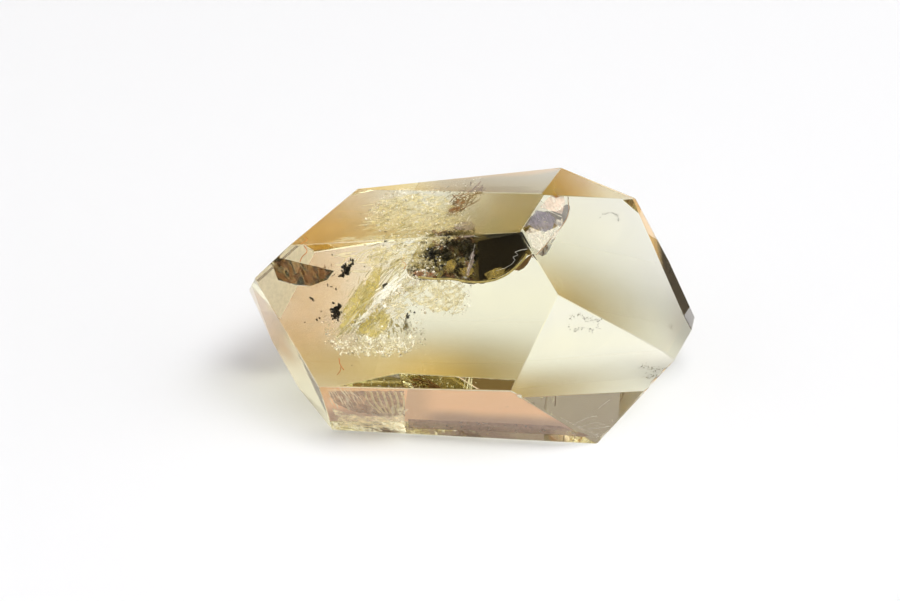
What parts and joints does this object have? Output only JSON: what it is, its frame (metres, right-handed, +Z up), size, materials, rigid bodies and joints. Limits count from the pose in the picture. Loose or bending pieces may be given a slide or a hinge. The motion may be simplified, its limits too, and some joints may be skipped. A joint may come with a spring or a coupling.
{
  "type": "citrine crystal point",
  "caption": "Stubby double-ended point of clear, pale yellow quartz with flat polished faces, lying on one of its flats.",
  "frame": {"origin": "middle of the crystal's footprint box, on the surface that it rests on", "axes": "+X along the crystal towards its sharper point, +Z up, -Y towards the broad front flats"},
  "size_m": [0.0508, 0.031, 0.0257],
  "materials": {
    "citrine": "clear pale yellow quartz, polished, with crisp softened edges"
  },
  "bodies": {
    "root": {"citrine_crystal": "citrine"}
  },
  "joints": []
}
